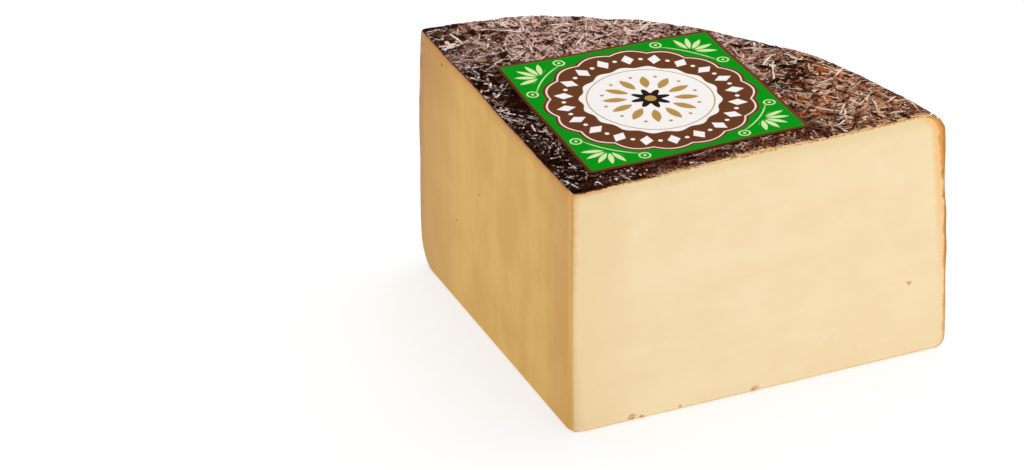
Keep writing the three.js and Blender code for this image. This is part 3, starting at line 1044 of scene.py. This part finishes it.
def upright_edge(place, rough, on_left):
    """Layers for the edge between the cuts: a paler golden strip that is painted highlight, where the
    rounding turns to the light, and worn darker near its top.
    """
    x, y, z = parts(place)
    uneven = noise(place, 7.0) - 0.5
    from_edge = (x * x + y * y) ** 0.5 + rough * 2.0
    # Painted highlight: the cut turns paler next to the rounded edge, mostly on the left cut.
    edge = from_edge.smooth(6.0, 2.0) * (z.smooth(0.0, 60.0) * 0.6 + 0.2) * (on_left * 0.75 + 0.15)
    worn = (from_edge + uneven * 5.0).smooth(2.8, 1.2) * z.smooth(40.0, 96.0) * (on_left * 0.5 + 0.2)
    return (
        (edge, blend(on_left, (246, 212, 156), (252, 202, 112))),
        (worn, (230, 160, 70)),
    )


def cut_material():
    """Pale firm cheese, painted darker and more golden on the left cut as shade, with the rind's section at
    its edges.
    """
    material, tree = new_material("cut_cheese")
    place = in_millimetres(tree)
    x, y, z = parts(place)
    top_depth = attribute(tree, "top_depth")
    rough = noise(place, 3.0, 4.0, 0.7) - 0.5
    fine = noise(place, 1.2)
    on_left = (y - x - rough * 2.0).smooth(-0.5, 1.2)
    in_front = 1 - on_left
    along = x.max(y)
    upright = noise(drawn_out(place, 1.0, 1.0, 0.3), 9.0, 3.0, 0.5)
    level = noise(drawn_out(place, 0.4, 0.4, 1.0), 12.0, 3.0, 0.5)
    streaks = upright * on_left + level * in_front
    patchy = (noise(place, 24.0, 3.0, 0.5) * 0.6 + streaks * 0.4).smooth(0.38, 0.62)
    # The left cut's darker, more golden tones are painted shade: the same cheese as the front cut, coloured
    # as it looks in shade.
    pale = blend(on_left, (250, 227, 184), (247, 199, 115))
    deep = blend(on_left, (247, 222, 177), (239, 188, 104))
    far_end = along.smooth(110.0, 165.0) * on_left
    near_corner = (x * x + y * y).smooth(900.0, 9.0)
    margin = (top_depth + rough * 5.0).smooth(8.0, 1.5)
    ragged = top_depth + rough * 1.4 + (fine - 0.5)
    foot = (z + rough * 1.6).smooth(1.5, 0.4)
    crystals = spots(along + rough * 2.0, z, FRONT_CRYSTALS, 0.3) * in_front
    crumbs = spots(along + rough * 4.0, z + fine, FRONT_CRUMBS, 0.4) * in_front * fine.smooth(0.35, 0.5)
    holes = spots(along, z, LEFT_PINHOLES, 0.6) * on_left
    colour = paint(
        deep,
        (patchy, pale),
        (far_end * 0.85, (218, 169, 100)),
        (far_end * z.smooth(70.0, 100.0) * 0.5, (204, 134, 70)),
        (near_corner * 0.4, blend(on_left, (238, 206, 152), (216, 156, 84))),
        (margin * 0.5, blend(on_left, (230, 208, 156), (224, 154, 82))),
        *rind_section(tree, place, rough, on_left),
        *top_edge(x, ragged, fine, on_left),
        (foot * 0.5, (216, 160, 88)),
        *upright_edge(place, rough, on_left),
        (crystals * 0.5, (252, 240, 214)),
        (crumbs.clamp() * 0.75, (196, 126, 60)),
        (holes, (70, 38, 14)),
    )
    finish_material(tree, Base_Color=colour, Roughness=fine.range(0.3, 0.7, 0.45, 0.62),
                    Normal=bump(fine * 0.3 + streaks * 0.7 - holes, 0.3, 0.5), Specular_IOR_Level=0.08)
    return material


# The print: a ring of plain lozenges round a rosette, with leaf fans in the corners
PRINT_SOFTNESS = 0.16
BORDER_WIDTH = 1.6
MEDALLION_RADIUS = 40.6
MEDALLION_LOBE = 2.2
MEDALLION_LOBES = 16
MEDALLION_RIM = 1.3
MEDALLION_LINE = 0.8
LOZENGES = 20
LOZENGE_RADIUS = 35.0
LOZENGE_HALF = (2.7, 4.0)
LOZENGE_DOT = 0.95
FIELD_RADIUS = 28.2
FIELD_WAVE = 0.7
FIELD_LINE = (2.2, 2.7)
PETALS = 12
PETAL_MIDDLE = 14.6
PETAL_HALF = (1.9, 5.2)
PETAL_DOT = 0.8
PETAL_DOT_RADIUS = 19.6
STAR_RADIUS = 6.4
STAR_POINT = 1.9
STAR_POINTS = 8
STAR_MIDDLE = 2.4
FAN_FOOT = 47.0
FAN_SPACING = 0.52
FAN_WIDTH = 1.35
LEAF_MIDDLE = 6.6
LEAF_HALF = (1.15, 4.6)
RING_PLACE = (45.2, 14.6)
RING_RADIUS = 2.2
RING_LINE = 0.35
RING_DOT = 0.7
ARC_RADIUS = 46.0
ARC_LINE = 0.3
ARC_WIDTH = 0.24


def inside(distance):
    """1 where a distance, positive inside an outline, is over zero."""
    return (distance / PRINT_SOFTNESS + 0.5).clamp()


def leaf(along, beside, half_width, half_length):
    """A slim leaf with pointed ends."""
    return inside(half_width - (along / half_length) ** 2 * half_width - beside)


def printed_label():
    """Brown border, green ground, brown lobed medallion and a pale field with a gold rosette."""
    material, tree = new_material("label_print")
    u, v, _ = parts(node(tree, "ShaderNodeUVMap", {"uv_map": "print"}))
    x, y = (u - 0.5) * LABEL_SIDE, (v - 0.5) * LABEL_SIDE
    radius, angle = polar(x, y)
    brown, green, white = (107, 60, 33), (0, 148, 18), (250, 245, 242)
    gold, lime, dark = (186, 146, 76), (214, 236, 168), (38, 26, 20)
    to_edge = LABEL_SIDE / 2 - abs(x).max(abs(y))
    lobes = abs((angle * (MEDALLION_LOBES / 2)).sin()) * MEDALLION_LOBE + MEDALLION_RADIUS
    field = FIELD_RADIUS + (angle * MEDALLION_LOBES).cos() * FIELD_WAVE
    outer_line, inner_line = (inside(FIELD_RADIUS - inset - radius) for inset in FIELD_LINE)
    colour = paint(
        blend(inside(to_edge - BORDER_WIDTH), brown, green),
        (corner_fan(x, y), lime),
        (inside(lobes + MEDALLION_RIM - radius), brown),
        (inside(lobes - radius) - inside(lobes - MEDALLION_LINE - radius), (246, 226, 214)),
        (lozenge_ring(radius, angle), white),
        (inside(field - radius), white),
        (outer_line - inner_line, gold),
        (rosette(radius, angle), gold),
        (inside((angle * STAR_POINTS).cos() * STAR_POINT + STAR_RADIUS - radius), dark),
        (inside(STAR_MIDDLE - radius), gold),
    )
    fibre = noise(in_millimetres(tree), 0.8)
    finish_material(tree, Base_Color=colour, Roughness=0.7, Normal=bump(fibre, 0.05, 0.3),
                    Specular_IOR_Level=0.02)
    return material


def dots_between(radius, angle, count, dot_radius, away):
    """A dot between each two of count equal sectors, at a distance from the middle."""
    beside = folded(angle, count, 0.5) * radius
    return inside(dot_radius - (beside * beside + away * away) ** 0.5)


def lozenge_ring(radius, angle):
    beside = abs(folded(angle, LOZENGES)) * radius
    above = abs(radius - LOZENGE_RADIUS)
    lozenges = inside((1 - above / LOZENGE_HALF[1] - beside / LOZENGE_HALF[0]) * 2.0)
    return lozenges.max(dots_between(radius, angle, LOZENGES, LOZENGE_DOT, above))


def rosette(radius, angle):
    """Twelve slim petals and a dot between each two."""
    petals = leaf(radius - PETAL_MIDDLE, abs(folded(angle, PETALS)) * radius, *PETAL_HALF)
    return petals.max(dots_between(radius, angle, PETALS, PETAL_DOT, radius - PETAL_DOT_RADIUS))


def corner_fan(x, y):
    """Leaves spread from a point near each corner, between two small rings and under an arc."""
    across, towards = (abs(x) - abs(y)) * math.sqrt(0.5), (abs(x) + abs(y)) * math.sqrt(0.5)
    radius, angle = polar(towards - FAN_FOOT, across)
    beside = abs(((angle / FAN_SPACING + 0.5).fraction() - 0.5) * FAN_SPACING) * radius
    leaves = leaf(radius - LEAF_MIDDLE, beside, *LEAF_HALF) * inside(FAN_WIDTH - abs(angle))
    ring_radius, _ = polar(towards - RING_PLACE[0], abs(across) - RING_PLACE[1])
    rings = inside(RING_LINE - abs(ring_radius - RING_RADIUS)).max(inside(RING_DOT - ring_radius))
    arc_radius, arc_angle = polar(towards, across)
    arc = inside(ARC_LINE - abs(arc_radius - ARC_RADIUS)) * inside(ARC_WIDTH - abs(arc_angle))
    return leaves.max(rings).max(arc)


def bare_paper():
    material, tree = new_material("label_paper")
    fibre = noise(in_millimetres(tree), 0.6)
    colour = blend(fibre, (214, 206, 192), (236, 230, 220))
    finish_material(tree, Base_Color=colour, Roughness=0.85, Normal=bump(fibre, 0.05, 0.4))
    return material


# ---- Stage, light and camera ----
FLOOR_SIZE = 30.0
FLOOR_GREY = (0.46, 0.43, 0.41, 1.0)
FLOOR_GLOW = (0.94, 0.98, 1.0, 1.0)
CAMERA_AZIMUTH = math.radians(-25.71)
CAMERA_ELEVATION = math.radians(28.12)
CAMERA_DISTANCE = 16 * WHEEL_RADIUS
CAMERA_SIDEWAYS = -0.1354 * WHEEL_RADIUS
CAMERA_RISE = 0.4516 * WHEEL_RADIUS
CAMERA_LENS = 249.8
# Name, direction from the cheese, distance and size in metres, power in watts, colour
LIGHTS = (
    ("overhead", (0.4, 0.3, 1.0), 1.5, 2.6, 32.0, (1.0, 1.0, 1.0)),
    ("key", (0.3, -0.9, 0.06), 1.6, 0.7, 10.9, (1.0, 0.985, 0.965)),
    ("left_fill", (-1.0, -0.1, 0.16), 1.6, 1.0, 2.2, (1.0, 0.97, 0.94)),
)
SKY_STRENGTH = 0.25


def floor():
    material, tree = new_material("pale_floor")
    finish_material(tree, Base_Color=FLOOR_GREY, Roughness=0.9, Specular_IOR_Level=0.0,
                    Emission_Color=FLOOR_GLOW, Emission_Strength=0.68)
    half = FLOOR_SIZE / 2
    mesh = bpy.data.meshes.new("floor")
    corners = [(-half, -half, 0), (half, -half, 0), (half, half, 0), (-half, half, 0)]
    mesh.from_pydata(corners, [], [(0, 1, 2, 3)])
    mesh.materials.append(material)
    made = linked("floor", mesh)


def camera():
    """Stands where the picture was taken, seen from the corner of the cuts."""
    east, rise = CAMERA_AZIMUTH, CAMERA_ELEVATION
    back = Vector((math.sin(east) * math.cos(rise), -math.cos(east) * math.cos(rise), math.sin(rise)))
    right = Vector((math.cos(east), math.sin(east), 0.0))
    up = back.cross(right)
    place = back * CAMERA_DISTANCE + right * CAMERA_SIDEWAYS + up * CAMERA_RISE + Vector((*CORNER, 0.0))
    data = bpy.data.cameras.new("camera")
    data.lens = CAMERA_LENS
    data.clip_end = 100.0
    made = linked("camera", data)
    made.location = place * MM
    made.rotation_euler = (-back).to_track_quat("-Z", "Y").to_euler()
    bpy.context.scene.camera = made


def light():
    """Soft square lights that look at the cheese, and an even pale sky."""
    for name, towards, distance, size, power, colour in LIGHTS:
        data = bpy.data.lights.new(name, "AREA")
        data.size = size
        data.energy = power
        data.color = colour
        direction = Vector(towards).normalized()
        made = linked(name, data)
        made.location = direction * distance
        made.rotation_euler = direction.to_track_quat("Z", "Y").to_euler()
    world = bpy.data.worlds.new("studio")
    world.use_nodes = True
    sky = world.node_tree.nodes["Background"].inputs
    sky["Color"].default_value = (1.0, 1.0, 1.0, 1.0)
    sky["Strength"].default_value = SKY_STRENGTH
    bpy.context.scene.world = world
    bpy.context.scene.view_settings.view_transform = "Standard"


# ---- The whole ----
def ride(piece):
    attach(piece, "root")


def cheese():
    even = cheese_body(rind_material(), cut_material())
    body = run_tree(relief_tree(), even, "cheese_and_rind", CRUST_RELIEF)
    bpy.data.objects.remove(even)
    pale = flake_material("pale_flake", (255, 236, 228), 0.4)
    cream = flake_material("cream_flake", (250, 222, 200), 0.38)
    tan = flake_material("tan_flake", (255, 232, 212), 0.76)
    dull = flake_material("dull_flake", (196, 152, 122), 0.05)
    # Piece, tree, attribute, material, seed, shortness, facets, sizes
    kinds = (
        ("rind_long_strokes", "long strokes", "rubbed_back", tan, 33, 1.5, 2, LONG_STROKE_SIZES),
        ("rind_strokes", "strokes", "rubbed_near", pale, 21, 2.2, 1, STROKE_SIZES),
        ("rind_crumbs", "crumbs", "rubbed_near", cream, 57, 1.2, 1, CRUMB_SIZES),
    )
    flakes = [run_tree(scatter_tree(*looks), body, piece, sizes) for piece, *looks, sizes in kinds]
    flakes.append(large_flakes(dull))
    for piece in flakes:
        trim_at_cuts(piece)
    for piece in (body, *flakes):
        ride(piece)
    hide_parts("cheese_quarter")


def label():
    sheet = paper_label(printed_label(), bare_paper())
    ride(sheet)
    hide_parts("label")


camera()
cheese()
label()
floor()
light()
